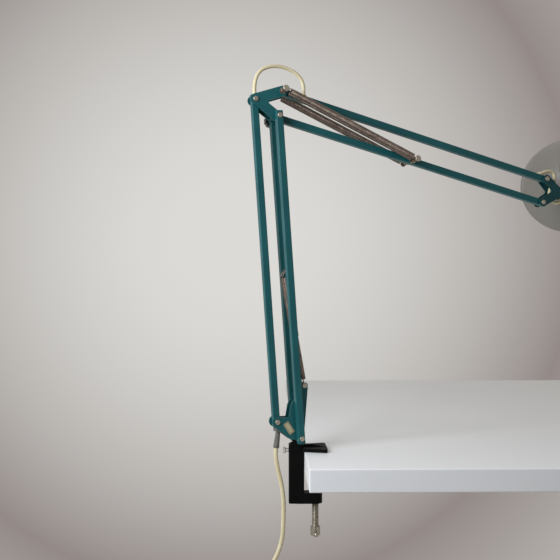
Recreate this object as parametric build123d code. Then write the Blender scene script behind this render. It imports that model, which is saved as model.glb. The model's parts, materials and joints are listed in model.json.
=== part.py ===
# Architect desk lamp: a table clamp, two parallelogram arms with balance springs, and a bell shade.
# The frame's origin is the middle of the upper jaw's underside, +X points along the jaw, +Z is up.
import math
import os

from build123d import *

# Arm tubes
TUBE = 10.0
TUBE_WALL = 1.0
TUBE_CORNER = 1.2
TUBE_END = 7.0
LOWER_ARM = 460.0
UPPER_ARM = 458.0
LOWER_LEAN = 4.1
UPPER_DROP = 13.3
SWIVEL_REST = 17.0

# Pivot layout in the plane of the arms, as steps forward and up
FRONT_FOOT_AHEAD = 2.0
FOOT_STEP_BACK = 32.8
FOOT_STEP_UP = 23.5
HEAD_STEP_AHEAD = 7.6
HEAD_STEP_UP = 37.7

# Plates, washers and pivots
PLATE = 1.5
SPACER = 2.0
OUTER_WASHER = 0.7
FIT = 0.05
STUD_R = 2.5
STUD_HEAD_R = 3.8
STUD_HEAD = 2.0
STUD_FLANGE_R = 3.4
STUD_FLANGE = 0.8
WASHER_R = 4.6
LOBE_R = 6.5
ELBOW_LOBE_R = 7.5
REAR_LOBE_R = 8.0
NOTCH_R = 3.0

# Clamp casting
POST_LONG = 22.0
POST_WIDE = 18.0
POST_TOP = 8.4
POST_CORNER = 3.0
NECK = 7.6
NECK_R = 5.9
BOSS = 2.2
BOSS_R = 8.8
JAW_REACH = 32.0
JAW_WIDE = 60.0
JAW_ROOT_WIDE = 40.0
JAW_THICK = 5.0
RIB_WIDE = 7.0
RIB_FLAT = 12.0
THROAT = 60.0
LOWER_JAW_THICK = 15.0
LOWER_JAW_WIDE = 20.0
PIN_R = 4.0
PIN_DEPTH = 30.0
SWIVEL_GAP = 1.0
RUN_GAP = 0.1

# Clamp screw, pad, tommy bar and thumb screw
SCREW_R = 5.0
SCREW_HEAD_R = 7.0
SCREW_HEAD = 14.0
SCREW_BELOW = 33.0
TABLE_GAP = 30.0
PAD_R = 13.0
PAD_THICK = 6.0
PAD_SOCKET = 3.0
BAR_R = 2.5
BAR_LONG = 44.0
BAR_END_R = 3.6
THUMB_R = 2.5
THUMB_HEAD_R = 5.6
THUMB_HEAD = 5.0
THUMB_COLLAR = 3.0
THUMB_HEIGHT = -0.5

# Swivel bracket
WEB = 1.6
WEB_BACK = 11.0
HORN_AHEAD = 10.0
HORN_UP = 92.0
HORN_R = 4.6
FINGER_BACK = 21.0
FINGER_DROP = 27.0
LABEL_LONG = 18.0
LABEL_WIDE = 8.6
LABEL_THICK = 0.4
LABEL_TURN = 56.0

# Balance springs
SPRING_OD = 8.6
SPRING_WIRE = 1.4
SPRING_SIDE_GAP = 0.4
SPRING_TURNS = 16
SPRING_PIN_R = 2.0
SPRING_LEAD = 9.0
EYE_SHANK = 16.0
EYE_PLUG = 12.0
EYE_PLAY = 0.2
ROD_SHANK = 40.0
ROD_PLUG = 44.0
ROD_R = 0.8
LOWER_SPRING_UP = 239.0
UPPER_SPRING_OUT = 221.0
CAP_R = 4.6
CAP_THICK = 2.0

# Friction knob at the elbow
KNOB_R = 9.5
KNOB_THICK = 9.0

# Head fork and swivel
FORK_REACH = 62.5
FORK_RISE = 14.5
FORK_TIP_R = 9.0
FORK_JOIN_AHEAD = 29.0
FORK_JOIN_RISE = 16.5
FORK_JOIN_R = 8.0
BLOCK = 16.0
STUD_SWIVEL_R = 4.0
NUT_R = 6.5
NUT_THICK = 5.0
BASE_R = 6.5
BASE_THICK = 3.0
TILT_UP = 12.0
EAR = 2.5
EAR_R = 6.0
LUG = 6.0
TILT_BOLT_R = 2.0
WING_LONG = 16.0
WING_THICK = 2.4
HEAD_YAW = 52.4
HEAD_PITCH = 13.3

# Shade, lamp holder and bulb, measured along the beam from the tilt bolt
AXIS_UP = 33.5
CUP_R = 20.0
CUP_WALL = 1.2
CUP_BACK = 28.0
CUP_FRONT = 18.0
COLLAR = 12.0
SHADE_R = 85.5
SHADE_RIM = 95.0
SHADE_WALL = 1.0
SHADE_BULGE = 13.0
BEAD_R = 1.6
HOLDER_R = 15.0
HOLDER_BACK = 20.0
HOLDER_FRONT = 14.0
HOLDER_FLANGE = 3.0
BULB_CAP_R = 12.8
BULB_CAP = 22.0
BULB_R = 25.0
BULB_LONG = 68.0
BULB_GLASS = 0.8
SWITCH_R = 4.5
SWITCH_OUT = 7.0
SWITCH_TRAVEL = 3.0

# Cable and mains cord
CABLE_R = 2.5
GROMMET_R = 4.2
GROMMET = 2.0
ELBOW_HOLE_OUT = 34.0
HEAD_HOLE_BACK = 10.5
HEAD_HOLE_RISE = 38.0
CORD_R = 3.2
SLEEVE_R = 3.7
SLEEVE_LONG = 35.0
SLEEVE_LEAN = 7.0
SLEEVE_DROP = 9.5
CLIP_LONG = 11.0
CLIP_HIGH = 4.5
COIL_R = 45.5
COIL_STEP = 7.0
COIL_HALF_TURNS = 7
COIL_CENTRE = (-16.0, -230.4)
TIE_WIDE = 8.0
TIE_THICK = 0.9
TIE_SLACK = 0.8
TAIL = 90.0
PLUG_LONG = 36.0
PLUG_WIDE = 26.0
PLUG_THICK = 14.0
PLUG_PIN_R = 2.0
PLUG_PIN = 19.0
PLUG_PIN_SPACING = 18.6

# Places across the arms
HALF_GAP = TUBE / 2 + SPACER
PLATE_OUT = HALF_GAP + PLATE
FRONT_IN = PLATE_OUT + OUTER_WASHER
FRONT_MID = FRONT_IN + TUBE / 2
FRONT_OUT = FRONT_IN + TUBE
SPRING_R = (SPRING_OD - SPRING_WIRE) / 2
SPRING_STEP = SPRING_OD + SPRING_SIDE_GAP
EYE_R = SPRING_PIN_R + SPRING_WIRE / 2 + EYE_PLAY
LOWER_SPRING_Y = SPRING_STEP / 2
UPPER_SPRING_YS = [PLATE_OUT + OUTER_WASHER + SPRING_OD / 2 + SPRING_STEP * i for i in range(2)]
SPRING_PIN_OUT = UPPER_SPRING_YS[-1] + SPRING_WIRE + SPRING_SIDE_GAP

# Pivots in the arm plane, as (forward, up) from the foot of the swivel axis
LOWER_DIR = (-math.sin(math.radians(LOWER_LEAN)), math.cos(math.radians(LOWER_LEAN)))
UPPER_DIR = (math.cos(math.radians(UPPER_DROP)), -math.sin(math.radians(UPPER_DROP)))


def step(point, direction, distance):
    return (point[0] + direction[0] * distance, point[1] + direction[1] * distance)


FRONT_FOOT = (FRONT_FOOT_AHEAD, POST_TOP + SWIVEL_GAP + math.hypot(TUBE_END, TUBE / 2))
REAR_FOOT = (FRONT_FOOT[0] - FOOT_STEP_BACK, FRONT_FOOT[1] + FOOT_STEP_UP)
FRONT_ELBOW = step(FRONT_FOOT, LOWER_DIR, LOWER_ARM)
REAR_ELBOW = step(REAR_FOOT, LOWER_DIR, LOWER_ARM)
TOP_ELBOW = (FRONT_ELBOW[0] + HEAD_STEP_AHEAD, FRONT_ELBOW[1] + HEAD_STEP_UP)
LOW_FORK = step(FRONT_ELBOW, UPPER_DIR, UPPER_ARM)
TOP_FORK = step(TOP_ELBOW, UPPER_DIR, UPPER_ARM)
FORK_TIP = (LOW_FORK[0] + FORK_REACH, LOW_FORK[1] + FORK_RISE)
FORK_JOIN = (LOW_FORK[0] + FORK_JOIN_AHEAD, LOW_FORK[1] + FORK_JOIN_RISE)
HORN = (HORN_AHEAD, HORN_UP)
LOWER_SPRING_TOP = step(FRONT_FOOT, LOWER_DIR, LOWER_SPRING_UP)
UPPER_SPRING_END = step(FRONT_ELBOW, UPPER_DIR, UPPER_SPRING_OUT)
TILT = (FORK_TIP[0], FORK_TIP[1] + BLOCK / 2 + RUN_GAP + TILT_UP)
NECK_TOP = POST_TOP + NECK
WEB_LOW = NECK_TOP + RUN_GAP
PAD_TOP = -TABLE_GAP
LOWER_JAW_LOW = -THROAT - LOWER_JAW_THICK
AXIS_X = -(POST_LONG / 2 + JAW_REACH / 2)

CLAMP_PLACE = Pos(AXIS_X, 0, 0)
ARM_PLACE = Pos(AXIS_X, 0, 0) * Rot(0, 0, SWIVEL_REST)
KNUCKLE_PLACE = ARM_PLACE * Pos(TILT[0], 0, TILT[1]) * Rot(0, 0, HEAD_YAW)
HEAD_PLACE = KNUCKLE_PLACE * Rot(0, HEAD_PITCH, 0)
nodes = {}


def add(name, place, *solids):
    nodes[name] = [place * solid for solid in solids]


# Shape helpers
def rod(point, radius, y_low, y_high):
    """Cylinder across the arms, from y_low to y_high."""
    return Pos(point[0], (y_low + y_high) / 2, point[1]) * Rot(90, 0, 0) * Cylinder(radius, y_high - y_low)


def mirrored(solid):
    return mirror(solid, Plane.XZ)


def plate(outline, y_low, thick):
    """Flat plate whose outline is drawn in x and z."""
    plane = Plane(origin=(0, y_low + thick, 0), x_dir=(1, 0, 0), z_dir=(0, -1, 0))
    return extrude(plane * outline, thick)


def disc(point, radius):
    return Pos(point[0], point[1]) * Circle(radius)


def link(a, b, radius_a, radius_b):
    return make_hull(disc(a, radius_a).edges() + disc(b, radius_b).edges())


def beam(start, direction, y_middle, profile, length):
    """Profile extruded along a direction of the arm plane."""
    ahead = (direction[0], 0, direction[1])
    plane = Plane(origin=(start[0], y_middle, start[1]), x_dir=(0, 1, 0), z_dir=ahead)
    return extrude(plane * profile, length)


def square_tube(pivot, direction, y_middle, span):
    inside = TUBE - 2 * TUBE_WALL
    ring = RectangleRounded(TUBE, TUBE, TUBE_CORNER) - RectangleRounded(inside, inside, TUBE_CORNER / 2)
    return beam(step(pivot, direction, -TUBE_END), direction, y_middle, ring, span + 2 * TUBE_END)


def washer(point, inner, y_low, y_high):
    return rod(point, WASHER_R, y_low, y_high) - rod(point, inner, y_low - 1, y_high + 1)


def dome(point, radius, y_low, height):
    """Low round head standing on the plane y_low, towards +Y."""
    head = rod(point, radius, y_low, y_low + height)
    return fillet(head.edges().sort_by(Axis.Y)[-1], height * 0.6)


def stud(point, outer_face, inner_face):
    """Shouldered pivot stud on the far side: head outside, flange inside the wall it holds."""
    shank = rod(point, STUD_R, inner_face, outer_face)
    flange = rod(point, STUD_FLANGE_R, inner_face - STUD_FLANGE, inner_face)
    return dome(point, STUD_HEAD_R, outer_face, STUD_HEAD) + shank + flange


def pair(solid):
    return [solid, mirrored(solid)]


def unit(vector):
    return vector / vector.length


def biarc(p0, t0, p1, t1):
    """Two arcs that leave p0 along t0 and arrive at p1 along t1."""
    chord = p1 - p0
    both = chord.dot(t0 + t1)
    curve = 2 * (1 - t0.dot(t1))
    if curve < 1e-9:
        reach = chord.dot(chord) / (2 * both)
    else:
        reach = (-both + math.sqrt(both * both + curve * chord.dot(chord))) / curve
    first, second = p0 + t0 * reach, p1 - t1 * reach
    middle = (first + second) / 2
    return [Edge.make_tangent_arc(p0, t0, middle), Edge.make_tangent_arc(middle, unit(second - first), p1)]


def wound(edges, radius):
    """One unbroken round tube along a chain of arcs."""
    path = Wire(edges)
    section = Plane(origin=path @ 0, z_dir=path % 0) * Circle(radius)
    return sweep(section, path)


def self_gap(name, edges, radius):
    """Least distance between stretches of one tube that lie over half a turn apart."""
    points = []
    for edge in edges:
        count = max(2, math.ceil(edge.length / radius))
        points += [edge.position_at(i / count) for i in range(count)]
    marks = [0.0]
    for before, after in zip(points, points[1:]):
        marks.append(marks[-1] + (after - before).length)
    apart = 4 * math.pi * radius
    least = min((a - b).length for i, a in enumerate(points) for j, b in enumerate(points[:i])
                if marks[i] - marks[j] > apart)
    print(f"{name}: least gap to itself {least - 2 * radius:.2f} mm")


def cord_tube(name, points, radius):
    """Round cord along straight runs, each corner as round as its two runs allow."""
    corners = [Vector(*point) for point in points]
    radii = []
    for before, corner, after in zip(corners, corners[1:], corners[2:]):
        turn = math.radians((corner - before).get_angle(after - corner))
        radii.append(0.45 * min((corner - before).length, (after - corner).length) / math.tan(turn / 2))
    path = FilletPolyline(*corners, radius=radii)
    section = Plane(origin=path @ 0, z_dir=path % 0) * Circle(radius)
    tube = sweep(section, path)
    ratio = tube.volume / (math.pi * radius ** 2 * path.length)
    print(f"{name}: length {path.length:.0f} mm, volume ratio {ratio:.3f}, radii {[round(r) for r in radii]}")
    return tube


def loop_tube(name, stations, radius):
    """Round cable in the arm plane through points, each with its heading in degrees above +X."""
    ends = []
    for x, z, heading in stations:
        angle = math.radians(heading)
        ends.append((Vector(x, 0, z), Vector(math.cos(angle), 0, math.sin(angle))))
    edges = []
    for (p0, t0), (p1, t1) in zip(ends, ends[1:]):
        edges += biarc(p0, t0, p1, t1)
    print(f"{name}: length {sum(edge.length for edge in edges):.0f} mm, "
          f"tightest {min(edge.radius for edge in edges):.1f} mm")
    return wound(edges, radius)


def spring_frame(start, end):
    """Unit vectors along a spring and square to it in the arm plane, and its length."""
    run = Vector(end[0] - start[0], 0, end[1] - start[1])
    along = unit(run)
    return along, along.cross(Vector(0, 1, 0)), run.length


def spring(name, start, end, y_middle, tail):
    """Tension spring hooked round a pin at start, wound towards end, plain at its tail."""
    along, square, length = spring_frame(start, end)
    across = Vector(0, 1, 0)
    origin = Vector(start[0], y_middle, start[1])
    coil_long = length - SPRING_LEAD - tail
    lead = coil_long / (2 * math.pi * SPRING_TURNS)

    def on_hook(angle):
        return origin + (along * math.cos(angle) + square * math.sin(angle)) * SPRING_R

    def along_hook(angle):
        return along * math.sin(angle) - square * math.cos(angle)

    def on_coil(angle):
        return (origin + along * (SPRING_LEAD + lead * angle)
                + (square * math.cos(angle) + across * math.sin(angle)) * SPRING_R)

    def along_coil(angle):
        return unit(along * lead + (across * math.cos(angle) - square * math.sin(angle)) * SPRING_R)

    hook = [math.pi * (0.5 + quarter / 2) for quarter in range(3, -1, -1)]
    edges = []
    for a, b in zip(hook, hook[1:]):
        edges += biarc(on_hook(a), along_hook(a), on_hook(b), along_hook(b))
    straight_end = on_hook(hook[-1]) + along * SPRING_WIRE
    edges.append(Edge.make_line(on_hook(hook[-1]), straight_end))
    edges += biarc(straight_end, along, on_coil(0), along_coil(0))
    for quarter in range(4 * SPRING_TURNS):
        a, b = math.pi / 2 * quarter, math.pi / 2 * (quarter + 1)
        edges += biarc(on_coil(a), along_coil(a), on_coil(b), along_coil(b))
    self_gap(name, edges, SPRING_WIRE / 2)
    return wound(edges, SPRING_WIRE / 2)


def spring_end(start, end, y_middle, shank, plug):
    """Eye round a pin at end, on a shank whose plug sits inside the tail of the coil."""
    along, _, length = spring_frame(start, end)
    direction = (along.X, along.Z)
    eye = Pos(end[0], y_middle, end[1]) * Rot(90, 0, 0) * Torus(EYE_R, SPRING_WIRE / 2)
    plug_r = SPRING_R - SPRING_WIRE / 2 - FIT
    first = step(end, direction, -shank - plug)
    body = beam(first, direction, y_middle, Circle(plug_r), min(plug, EYE_PLUG))
    reach = shank + plug - EYE_R
    return body + beam(first, direction, y_middle, Circle(ROD_R), reach) + eye


# Clamp casting: post with the swivel bore, ribbed upper jaw and threaded lower jaw
post = Pos(0, 0, (POST_TOP + LOWER_JAW_LOW) / 2) * Box(POST_LONG, POST_WIDE, POST_TOP - LOWER_JAW_LOW)
post = fillet(post.edges().filter_by(Axis.Z), POST_CORNER)
neck = Pos(0, 0, POST_TOP + NECK / 2) * Cylinder(NECK_R, NECK)
neck += Pos(0, 0, POST_TOP + BOSS / 2) * Cylinder(BOSS_R, BOSS)
jaw_start, jaw_tip = POST_LONG / 2 - POST_CORNER, POST_LONG / 2 + JAW_REACH
jaw = extrude(Polygon((jaw_start, -JAW_ROOT_WIDE / 2), (jaw_tip, -JAW_WIDE / 2), (jaw_tip, JAW_WIDE / 2),
                      (jaw_start, JAW_ROOT_WIDE / 2), align=None), JAW_THICK)
jaw = fillet(jaw.edges().filter_by(Axis.Z).sort_by(Axis.X)[-2:], POST_CORNER)
rib = plate(Polygon((jaw_start, JAW_THICK), (jaw_tip - POST_CORNER, JAW_THICK),
                    (POST_LONG / 2 + RIB_FLAT, POST_TOP), (jaw_start, POST_TOP), align=None),
            -RIB_WIDE / 2, RIB_WIDE)
screw_x = POST_LONG / 2 + JAW_REACH / 2
lower_jaw = Pos(screw_x / 2, 0, -THROAT - LOWER_JAW_THICK / 2) * Box(screw_x, LOWER_JAW_WIDE, LOWER_JAW_THICK)
lower_boss = Pos(screw_x, 0, -THROAT - LOWER_JAW_THICK / 2) * Cylinder(LOWER_JAW_WIDE / 2, LOWER_JAW_THICK)
pin_low = NECK_TOP - PIN_DEPTH
bore = Pos(0, 0, (NECK_TOP + pin_low) / 2) * Cylinder(PIN_R + FIT, NECK_TOP - pin_low + 2)
thumb_hole = Pos(-POST_LONG / 2, 0, THUMB_HEIGHT) * Rot(0, 90, 0) * Cylinder(THUMB_R + FIT, POST_LONG - 2)
thread = Pos(screw_x, 0, -THROAT - LOWER_JAW_THICK / 2) * Cylinder(SCREW_R + FIT, LOWER_JAW_THICK + 2)
add("clamp_body", CLAMP_PLACE, post + neck + jaw + rib + lower_jaw + lower_boss - bore - thumb_hole - thread)

# Thumb screw that holds the swivel pin
thumb_tip = -PIN_R - FIT * 2
thumb_seat = -POST_LONG / 2 - RUN_GAP
collar_end = thumb_seat - THUMB_COLLAR


def lying(radius, x_low, x_high):
    return Pos((x_low + x_high) / 2, 0, THUMB_HEIGHT) * Rot(0, 90, 0) * Cylinder(radius, x_high - x_low)


thumb_head = lying(THUMB_HEAD_R, collar_end - THUMB_HEAD, collar_end)
thumb_head = chamfer(thumb_head.edges().filter_by(GeomType.CIRCLE), THUMB_HEAD / 8)
add("thumb_screw", CLAMP_PLACE,
    lying(THUMB_R, thumb_seat, thumb_tip) + lying(THUMB_R * 1.4, collar_end, thumb_seat) + thumb_head)

# Clamp screw with its pad and tommy bar
pad = Pos(screw_x, 0, PAD_TOP - PAD_THICK / 2) * Cylinder(PAD_R, PAD_THICK)
pad = fillet(pad.edges().group_by(Axis.Z)[0], PAD_THICK / 3)
socket = Pos(screw_x, 0, PAD_TOP - PAD_THICK + PAD_SOCKET / 2) * Cylinder(SCREW_R - 1 + FIT, PAD_SOCKET)
add("clamp_pad", CLAMP_PLACE, pad - socket)
screw_top = PAD_TOP - PAD_THICK - RUN_GAP
head_top = LOWER_JAW_LOW - SCREW_BELOW
head_middle = head_top - SCREW_HEAD / 2
tip_high = screw_top + PAD_SOCKET
screw = Pos(screw_x, 0, (screw_top + head_top) / 2) * Cylinder(SCREW_R, screw_top - head_top)
screw += Pos(screw_x, 0, (tip_high + screw_top) / 2) * Cylinder(SCREW_R - 1, tip_high - screw_top)
screw_head = Pos(screw_x, 0, head_middle) * Cylinder(SCREW_HEAD_R, SCREW_HEAD)
screw += chamfer(screw_head.edges().filter_by(GeomType.CIRCLE), SCREW_HEAD / 12)
add("clamp_screw", CLAMP_PLACE, screw - rod((screw_x, head_middle), BAR_R + FIT, -SCREW_HEAD_R, SCREW_HEAD_R))
bar = rod((screw_x, head_middle), BAR_R, -BAR_LONG / 2, BAR_LONG / 2)
for side in (-1, 1):
    bar += Pos(screw_x, side * BAR_LONG / 2, head_middle) * Sphere(BAR_END_R)
add("tommy_bar", CLAMP_PLACE, bar)

# Swivel bracket: two cheeks joined by a web that rides on the post's neck, with a riveted pin
cheek = disc(REAR_FOOT, REAR_LOBE_R) + disc(FRONT_FOOT, LOBE_R) + disc(HORN, HORN_R)
notch_up = REAR_FOOT[1] + REAR_LOBE_R * 0.8
cheek += Polygon((REAR_FOOT[0] - REAR_LOBE_R * 0.62, REAR_FOOT[1] - REAR_LOBE_R * 0.78), (-WEB_BACK, WEB_LOW),
                 (FRONT_FOOT[0], WEB_LOW), (FRONT_FOOT[0] + LOBE_R, FRONT_FOOT[1]),
                 (HORN[0] + HORN_R, HORN[1] - HORN_R / 4), (HORN[0] - HORN_R * 0.9, HORN[1] + HORN_R * 0.4),
                 (HORN[0] - FINGER_BACK, HORN[1] - FINGER_DROP), (-WEB_BACK - NOTCH_R, notch_up),
                 (REAR_FOOT[0] + REAR_LOBE_R, notch_up), (REAR_FOOT[0], REAR_FOOT[1] + REAR_LOBE_R * 0.98),
                 align=None)
cheek -= disc(REAR_FOOT, STUD_R + FIT) + disc(FRONT_FOOT, STUD_R + FIT) + disc(HORN, SPRING_PIN_R + FIT)
bracket = plate(cheek, HALF_GAP, PLATE) + plate(cheek, -PLATE_OUT, PLATE)
web_front = FRONT_FOOT[0] - STUD_FLANGE_R - FIT * 4
web_middle = Pos((web_front - WEB_BACK) / 2, 0, WEB_LOW + WEB / 2)
bracket += web_middle * Box(web_front + WEB_BACK, 2 * HALF_GAP, WEB)
bracket += Pos(0, 0, WEB_LOW + WEB / 2) * Cylinder(NECK_R, WEB)
bracket -= Pos(0, 0, WEB_LOW) * Cylinder(PIN_R + FIT, 4 * WEB)
add("base_bracket", ARM_PLACE, bracket)
pin_top = WEB_LOW + WEB + FIT
pin_foot = pin_low + 1
pin = Pos(0, 0, (pin_top + pin_foot) / 2) * Cylinder(PIN_R, pin_top - pin_foot)
pin += Pos(0, 0, pin_top + WEB / 2) * Cylinder(NECK_R - FIT * 4, WEB)
add("swivel_pin", ARM_PLACE, pin)
add("foot_studs", ARM_PLACE, *pair(stud(REAR_FOOT, PLATE_OUT, TUBE / 2 - TUBE_WALL)),
    *pair(stud(FRONT_FOOT, FRONT_OUT + FIT, HALF_GAP)))
add("lower_spring_foot_pin", ARM_PLACE,
    rod(HORN, SPRING_PIN_R, -PLATE_OUT, PLATE_OUT) + dome(HORN, CAP_R - 1, PLATE_OUT, CAP_THICK / 4)
    + mirrored(dome(HORN, CAP_R - 1, PLATE_OUT, CAP_THICK / 4)))
add("foot_washers", ARM_PLACE, *pair(washer(REAR_FOOT, STUD_R + FIT, TUBE / 2 + FIT, HALF_GAP)),
    *pair(washer(FRONT_FOOT, STUD_R + FIT, PLATE_OUT, FRONT_IN - FIT)))
label_middle = (-WEB_BACK - NOTCH_R, FRONT_FOOT[1] + LABEL_WIDE * 1.7)
label = RectangleRounded(LABEL_LONG, LABEL_WIDE, LABEL_THICK * 2)
label = Pos(*label_middle) * Rot(0, 0, -LABEL_TURN) * label
add("label_plate", ARM_PLACE, plate(label, -PLATE_OUT - LABEL_THICK, LABEL_THICK))

# Lower arm: one rear tube between the cheeks, two front tubes outside them
rear_hole = rod(REAR_FOOT, STUD_R + FIT, -TUBE, TUBE) + rod(REAR_ELBOW, STUD_R + FIT, -TUBE, TUBE)
add("lower_rear_tube", ARM_PLACE, square_tube(REAR_FOOT, LOWER_DIR, 0, LOWER_ARM) - rear_hole)
front_tube = square_tube(FRONT_FOOT, LOWER_DIR, FRONT_MID, LOWER_ARM)
for pivot, radius in ((FRONT_FOOT, STUD_R), (FRONT_ELBOW, STUD_R), (LOWER_SPRING_TOP, SPRING_PIN_R)):
    front_tube -= rod(pivot, radius + FIT, 0, FRONT_OUT + 1)
add("lower_near_tube", ARM_PLACE, mirrored(front_tube))
add("lower_far_tube", ARM_PLACE, front_tube)
add("lower_spring_top_pin", ARM_PLACE, rod(LOWER_SPRING_TOP, SPRING_PIN_R, -FRONT_OUT, FRONT_OUT))

# Lower balance springs hang from the cross pin and pull on rods hooked to the bracket's horn
lower_tail = ROD_SHANK + SPRING_OD
add("lower_springs", ARM_PLACE, *pair(
    spring("lower_springs", LOWER_SPRING_TOP, HORN, LOWER_SPRING_Y, lower_tail)))
add("lower_spring_rods", ARM_PLACE, *pair(
    spring_end(LOWER_SPRING_TOP, HORN, LOWER_SPRING_Y, ROD_SHANK, ROD_PLUG)))

# Elbow: two plates that carry the ends of both arms
elbow = link(REAR_ELBOW, FRONT_ELBOW, ELBOW_LOBE_R, ELBOW_LOBE_R)
elbow += link(REAR_ELBOW, TOP_ELBOW, ELBOW_LOBE_R, ELBOW_LOBE_R)
inner_corner = ((REAR_ELBOW[0] + FRONT_ELBOW[0] + TOP_ELBOW[0]) / 3, (FRONT_ELBOW[1] + TOP_ELBOW[1]) / 2)
elbow = fillet(elbow.vertices().sort_by_distance((*inner_corner, 0))[0], NOTCH_R)
for pivot in (REAR_ELBOW, FRONT_ELBOW, TOP_ELBOW):
    elbow -= disc(pivot, STUD_R + FIT)
add("elbow_plates", ARM_PLACE, *pair(plate(elbow, HALF_GAP, PLATE)))
bolt_head = mirrored(dome(FRONT_ELBOW, STUD_HEAD_R, FRONT_OUT + FIT, STUD_HEAD))
bolt_end = FRONT_OUT + OUTER_WASHER + KNOB_THICK * 0.8
add("elbow_bolt", ARM_PLACE, rod(FRONT_ELBOW, STUD_R, -FRONT_OUT - FIT, bolt_end) + bolt_head)
top_stud = rod(TOP_ELBOW, STUD_R, TUBE / 2 - TUBE_WALL, PLATE_OUT)
top_stud += rod(TOP_ELBOW, STUD_FLANGE_R, TUBE / 2 - TUBE_WALL - STUD_FLANGE, TUBE / 2 - TUBE_WALL)
top_stud += rod(TOP_ELBOW, WASHER_R, PLATE_OUT, PLATE_OUT + OUTER_WASHER)
top_stud += rod(TOP_ELBOW, SPRING_PIN_R, PLATE_OUT + OUTER_WASHER, SPRING_PIN_OUT)
top_stud += dome(TOP_ELBOW, CAP_R, SPRING_PIN_OUT, CAP_THICK)
add("elbow_studs", ARM_PLACE, *pair(top_stud), *pair(stud(REAR_ELBOW, PLATE_OUT, TUBE / 2 - TUBE_WALL)))
elbow_washers = []
for pivot in (REAR_ELBOW, FRONT_ELBOW, TOP_ELBOW):
    elbow_washers += pair(washer(pivot, STUD_R + FIT, TUBE / 2 + FIT, HALF_GAP))
elbow_washers += pair(washer(FRONT_ELBOW, STUD_R + FIT, PLATE_OUT, FRONT_IN - FIT))
add("elbow_washers", ARM_PLACE, *elbow_washers)
knob_low = FRONT_OUT + OUTER_WASHER
knob = Circle(KNOB_R)
for lobe in range(10):
    knob -= Rot(0, 0, 36 * lobe) * Pos(KNOB_R + 0.6, 0) * Circle(1.4)
knob = plate(Pos(*FRONT_ELBOW) * knob, knob_low, KNOB_THICK)
knob += rod(FRONT_ELBOW, KNOB_R * 0.6, FRONT_OUT + FIT, knob_low)
add("friction_knob", ARM_PLACE, knob - rod(FRONT_ELBOW, STUD_R + FIT, 0, bolt_end + FIT))

# Upper arm: top tube carries the cable, bottom tube takes the pull of the springs
UPPER_UP = (-UPPER_DIR[1], UPPER_DIR[0])
exit_heading = HEAD_HOLE_RISE - UPPER_DROP
EXIT_DIR = (math.cos(math.radians(exit_heading)), math.sin(math.radians(exit_heading)))
elbow_hole = step(step(TOP_ELBOW, UPPER_DIR, ELBOW_HOLE_OUT), UPPER_UP, TUBE / 2)
head_hole = step(step(TOP_FORK, UPPER_DIR, -HEAD_HOLE_BACK), UPPER_UP, TUBE / 2)
top_tube = square_tube(TOP_ELBOW, UPPER_DIR, 0, UPPER_ARM)
top_tube -= rod(TOP_ELBOW, STUD_R + FIT, -TUBE, TUBE) + rod(TOP_FORK, STUD_R + FIT, -TUBE, TUBE)
top_filled = beam(TOP_ELBOW, UPPER_DIR, 0, Rectangle(TUBE, TUBE), UPPER_ARM)
grommets = []
for hole, direction in ((elbow_hole, UPPER_UP), (head_hole, EXIT_DIR)):
    bore = beam(step(hole, direction, -TUBE / 2), direction, 0, Circle(CABLE_R + FIT), TUBE)
    top_tube -= bore
    bush = beam(step(hole, direction, -GROMMET_R), direction, 0, Circle(GROMMET_R), GROMMET_R + GROMMET)
    grommets.append(bush - top_filled - bore)
add("upper_top_tube", ARM_PLACE, top_tube)
add("cable_grommets", ARM_PLACE, *grommets)
bottom_tube = square_tube(FRONT_ELBOW, UPPER_DIR, 0, UPPER_ARM)
for pivot in (FRONT_ELBOW, LOW_FORK):
    bottom_tube -= rod(pivot, STUD_R + FIT, -TUBE, TUBE)
bottom_tube -= rod(UPPER_SPRING_END, SPRING_PIN_R + FIT, -TUBE, TUBE)
add("upper_bottom_tube", ARM_PLACE, bottom_tube)
spring_bolt = rod(UPPER_SPRING_END, SPRING_PIN_R, -SPRING_PIN_OUT, SPRING_PIN_OUT)
for half in pair(dome(UPPER_SPRING_END, CAP_R, SPRING_PIN_OUT, CAP_THICK)):
    spring_bolt += half
add("upper_spring_bolt", ARM_PLACE, spring_bolt)
sleeve_high = UPPER_SPRING_YS[0] - SPRING_OD / 2 - SPRING_SIDE_GAP
add("spring_bolt_sleeves", ARM_PLACE, *pair(
    washer(UPPER_SPRING_END, SPRING_PIN_R + FIT, TUBE / 2 + FIT, sleeve_high)))

# Upper balance springs, two on each side of the bottom tube
far_springs = [spring("upper_springs", TOP_ELBOW, UPPER_SPRING_END, y, EYE_SHANK) for y in UPPER_SPRING_YS]
add("upper_springs_far", ARM_PLACE, *far_springs)
add("upper_springs_near", ARM_PLACE, *[mirrored(each) for each in far_springs])
eyes = []
for y_middle in UPPER_SPRING_YS:
    eyes += pair(spring_end(TOP_ELBOW, UPPER_SPRING_END, y_middle, EYE_SHANK, EYE_PLUG))
add("upper_spring_eyes", ARM_PLACE, *eyes)

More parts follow.
